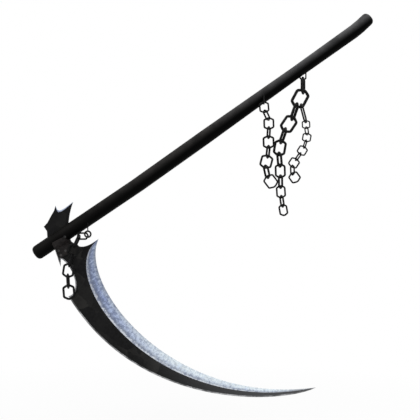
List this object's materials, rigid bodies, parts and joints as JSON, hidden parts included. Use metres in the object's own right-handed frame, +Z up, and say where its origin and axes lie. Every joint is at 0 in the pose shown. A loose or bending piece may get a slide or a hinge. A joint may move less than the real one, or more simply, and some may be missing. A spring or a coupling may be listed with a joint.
{
  "type": "reaper scythe with hanging chains",
  "caption": "Long black pole with a large crescent scythe blade, a spiked wing at its head and loose chains hanging under the pole.",
  "frame": {"origin": "middle of the grip, on the pole's axis", "axes": "+X to the right along the rising pole's run, +Y away from the viewer through the blade's plate, +Z up, as the scythe is held in the picture with the pole 35.4 degrees above level"},
  "size_m": [0.953, 0.0702, 1.0732],
  "materials": {
    "pole": "satin black stain, worn a little brown by the head",
    "blade": "dark body with ground bright bevels",
    "cheek": "brownish dark forged iron",
    "pins": "dark iron, filed flush",
    "iron": "black wrought iron"
  },
  "bodies": {
    "root": {"pole": "pole", "blade": "blade", "front_cheek": "cheek", "rear_cheek": "cheek", "tang_pins": "pins", "flange_rivets": "pins", "near_staple": "iron", "long_staple": "iron", "head_eye": "iron"},
    "near_link_1": {"near_link_1": "iron"},
    "near_link_2": {"near_link_2": "iron"},
    "near_link_3": {"near_link_3": "iron"},
    "near_link_4": {"near_link_4": "iron"},
    "near_link_5": {"near_link_5": "iron"},
    "near_link_6": {"near_link_6": "iron"},
    "near_link_7": {"near_link_7": "iron"},
    "near_link_8": {"near_link_8": "iron"},
    "near_link_9": {"near_link_9": "iron"},
    "long_link_0": {"long_link_0": "iron"},
    "long_link_1": {"long_link_1": "iron"},
    "long_link_2": {"long_link_2": "iron"},
    "long_link_3": {"long_link_3": "iron"},
    "long_link_4": {"long_link_4": "iron"},
    "long_link_5": {"long_link_5": "iron"},
    "long_link_6": {"long_link_6": "iron"},
    "long_link_7": {"long_link_7": "iron"},
    "long_link_8": {"long_link_8": "iron"},
    "long_link_9": {"long_link_9": "iron"},
    "long_link_10": {"long_link_10": "iron"},
    "long_link_11": {"long_link_11": "iron"},
    "side_link_1": {"side_link_1": "iron"},
    "side_link_2": {"side_link_2": "iron"},
    "side_link_3": {"side_link_3": "iron"},
    "side_link_4": {"side_link_4": "iron"},
    "side_link_5": {"side_link_5": "iron"},
    "side_link_6": {"side_link_6": "iron"},
    "side_link_7": {"side_link_7": "iron"},
    "side_link_8": {"side_link_8": "iron"},
    "side_link_9": {"side_link_9": "iron"},
    "side_link_10": {"side_link_10": "iron"},
    "head_link_1": {"head_link_1": "iron"},
    "head_link_2": {"head_link_2": "iron"},
    "head_link_3": {"head_link_3": "iron"},
    "head_link_4": {"head_link_4": "iron"},
    "head_link_5": {"head_link_5": "iron"},
    "head_link_6": {"head_link_6": "iron"},
    "head_link_7": {"head_link_7": "iron"}
  },
  "joints": [
    {"name": "near_link_1_swing", "type": "hinge", "parent": "root", "child": "near_link_1", "pos_m": [0.23847, -0.02397, 0.14831], "axis": [1, 0, 0], "range_deg": [-20, 20]},
    {"name": "near_link_2_swing", "type": "hinge", "parent": "near_link_1", "child": "near_link_2", "pos_m": [0.24082, -0.02397, 0.12151], "axis": [1, 0, 0], "range_deg": [-20, 20]},
    {"name": "near_link_3_swing", "type": "hinge", "parent": "near_link_2", "child": "near_link_3", "pos_m": [0.25214, -0.02397, 0.10424], "axis": [1, 0, 0], "range_deg": [-20, 20]},
    {"name": "near_link_4_swing", "type": "hinge", "parent": "near_link_3", "child": "near_link_4", "pos_m": [0.25315, -0.02397, 0.07526], "axis": [1, 0, 0], "range_deg": [-20, 20]},
    {"name": "near_link_5_swing", "type": "hinge", "parent": "near_link_4", "child": "near_link_5", "pos_m": [0.25128, -0.02397, 0.0539], "axis": [1, 0, 0], "range_deg": [-20, 20]},
    {"name": "near_link_6_swing", "type": "hinge", "parent": "near_link_5", "child": "near_link_6", "pos_m": [0.25237, -0.02397, 0.02283], "axis": [1, 0, 0], "range_deg": [-20, 20]},
    {"name": "near_link_7_swing", "type": "hinge", "parent": "near_link_6", "child": "near_link_7", "pos_m": [0.25006, -0.02397, -0.0001], "axis": [1, 0, 0], "range_deg": [-20, 20]},
    {"name": "near_link_8_swing", "type": "hinge", "parent": "near_link_7", "child": "near_link_8", "pos_m": [0.24147, -0.02397, -0.03215], "axis": [1, 0, 0], "range_deg": [-20, 20]},
    {"name": "near_link_9_swing", "type": "hinge", "parent": "near_link_8", "child": "near_link_9", "pos_m": [0.24743, -0.02397, -0.05691], "axis": [1, 0, 0], "range_deg": [-20, 20]},
    {"name": "long_link_0_swing", "type": "hinge", "parent": "root", "child": "long_link_0", "pos_m": [0.34969, 0, 0.21365], "axis": [1, 0, 0], "range_deg": [-20, 20]},
    {"name": "long_link_1_swing", "type": "hinge", "parent": "long_link_0", "child": "long_link_1", "pos_m": [0.35263, 0, 0.1828], "axis": [1, 0, 0], "range_deg": [-20, 20]},
    {"name": "long_link_2_swing", "type": "hinge", "parent": "long_link_1", "child": "long_link_2", "pos_m": [0.33027, 0, 0.14074], "axis": [1, 0, 0], "range_deg": [-20, 20]},
    {"name": "long_link_3_swing", "type": "hinge", "parent": "long_link_2", "child": "long_link_3", "pos_m": [0.32198, 0, 0.10853], "axis": [1, 0, 0], "range_deg": [-20, 20]},
    {"name": "long_link_4_swing", "type": "hinge", "parent": "long_link_3", "child": "long_link_4", "pos_m": [0.29751, 0, 0.07226], "axis": [1, 0, 0], "range_deg": [-20, 20]},
    {"name": "long_link_5_swing", "type": "hinge", "parent": "long_link_4", "child": "long_link_5", "pos_m": [0.28827, 0, 0.0434], "axis": [1, 0, 0], "range_deg": [-20, 20]},
    {"name": "long_link_6_swing", "type": "hinge", "parent": "long_link_5", "child": "long_link_6", "pos_m": [0.28135, 0, 0.00414], "axis": [1, 0, 0], "range_deg": [-20, 20]},
    {"name": "long_link_7_swing", "type": "hinge", "parent": "long_link_6", "child": "long_link_7", "pos_m": [0.28543, 0, -0.02298], "axis": [1, 0, 0], "range_deg": [-20, 20]},
    {"name": "long_link_8_swing", "type": "hinge", "parent": "long_link_7", "child": "long_link_8", "pos_m": [0.28668, 0, -0.05894], "axis": [1, 0, 0], "range_deg": [-20, 20]},
    {"name": "long_link_9_swing", "type": "hinge", "parent": "long_link_8", "child": "long_link_9", "pos_m": [0.28678, 0, -0.08329], "axis": [1, 0, 0], "range_deg": [-20, 20]},
    {"name": "long_link_10_swing", "type": "hinge", "parent": "long_link_9", "child": "long_link_10", "pos_m": [0.28902, 0, -0.11532], "axis": [1, 0, 0], "range_deg": [-20, 20]},
    {"name": "long_link_11_swing", "type": "hinge", "parent": "long_link_10", "child": "long_link_11", "pos_m": [0.29217, 0, -0.13659], "axis": [1, 0, 0], "range_deg": [-20, 20]},
    {"name": "side_link_1_swing", "type": "hinge", "parent": "long_link_1", "child": "side_link_1", "pos_m": [0.34819, 0, 0.13983], "axis": [1, 0, 0], "range_deg": [-20, 20]},
    {"name": "side_link_2_swing", "type": "hinge", "parent": "side_link_1", "child": "side_link_2", "pos_m": [0.35764, 0, 0.09924], "axis": [1, 0, 0], "range_deg": [-20, 20]},
    {"name": "side_link_3_swing", "type": "hinge", "parent": "side_link_2", "child": "side_link_3", "pos_m": [0.35872, 0, 0.07854], "axis": [1, 0, 0], "range_deg": [-20, 20]},
    {"name": "side_link_4_swing", "type": "hinge", "parent": "side_link_3", "child": "side_link_4", "pos_m": [0.3621, 0, 0.06359], "axis": [1, 0, 0], "range_deg": [-20, 20]},
    {"name": "side_link_5_swing", "type": "hinge", "parent": "side_link_4", "child": "side_link_5", "pos_m": [0.35825, 0, 0.04176], "axis": [1, 0, 0], "range_deg": [-20, 20]},
    {"name": "side_link_6_swing", "type": "hinge", "parent": "side_link_5", "child": "side_link_6", "pos_m": [0.35395, 0, 0.02604], "axis": [1, 0, 0], "range_deg": [-20, 20]},
    {"name": "side_link_7_swing", "type": "hinge", "parent": "side_link_6", "child": "side_link_7", "pos_m": [0.34144, 0, 0.00603], "axis": [1, 0, 0], "range_deg": [-20, 20]},
    {"name": "side_link_8_swing", "type": "hinge", "parent": "side_link_7", "child": "side_link_8", "pos_m": [0.33132, 0, -0.00789], "axis": [1, 0, 0], "range_deg": [-20, 20]},
    {"name": "side_link_9_swing", "type": "hinge", "parent": "side_link_8", "child": "side_link_9", "pos_m": [0.31769, 0, -0.02888], "axis": [1, 0, 0], "range_deg": [-20, 20]},
    {"name": "side_link_10_swing", "type": "hinge", "parent": "side_link_9", "child": "side_link_10", "pos_m": [0.31837, 0, -0.04844], "axis": [1, 0, 0], "range_deg": [-20, 20]},
    {"name": "head_link_1_swing", "type": "hinge", "parent": "root", "child": "head_link_1", "pos_m": [-0.25091, -0.0161, -0.22521], "axis": [-1, 0, 0], "range_deg": [0, 20]},
    {"name": "head_link_2_swing", "type": "hinge", "parent": "head_link_1", "child": "head_link_2", "pos_m": [-0.27825, -0.01888, -0.22288], "axis": [-1, 0, 0], "range_deg": [0, 20]},
    {"name": "head_link_3_swing", "type": "hinge", "parent": "head_link_2", "child": "head_link_3", "pos_m": [-0.2861, -0.0192, -0.24693], "axis": [-1, 0, 0], "range_deg": [0, 20]},
    {"name": "head_link_4_swing", "type": "hinge", "parent": "head_link_3", "child": "head_link_4", "pos_m": [-0.29564, -0.0192, -0.27814], "axis": [-1, 0, 0], "range_deg": [0, 20]},
    {"name": "head_link_5_swing", "type": "hinge", "parent": "head_link_4", "child": "head_link_5", "pos_m": [-0.30161, -0.0192, -0.30135], "axis": [-1, 0, 0], "range_deg": [0, 20]},
    {"name": "head_link_6_swing", "type": "hinge", "parent": "head_link_5", "child": "head_link_6", "pos_m": [-0.30699, -0.0192, -0.33533], "axis": [-1, 0, 0], "range_deg": [0, 20]},
    {"name": "head_link_7_swing", "type": "hinge", "parent": "head_link_6", "child": "head_link_7", "pos_m": [-0.30481, -0.0192, -0.3606], "axis": [-1, 0, 0], "range_deg": [0, 20]}
  ]
}
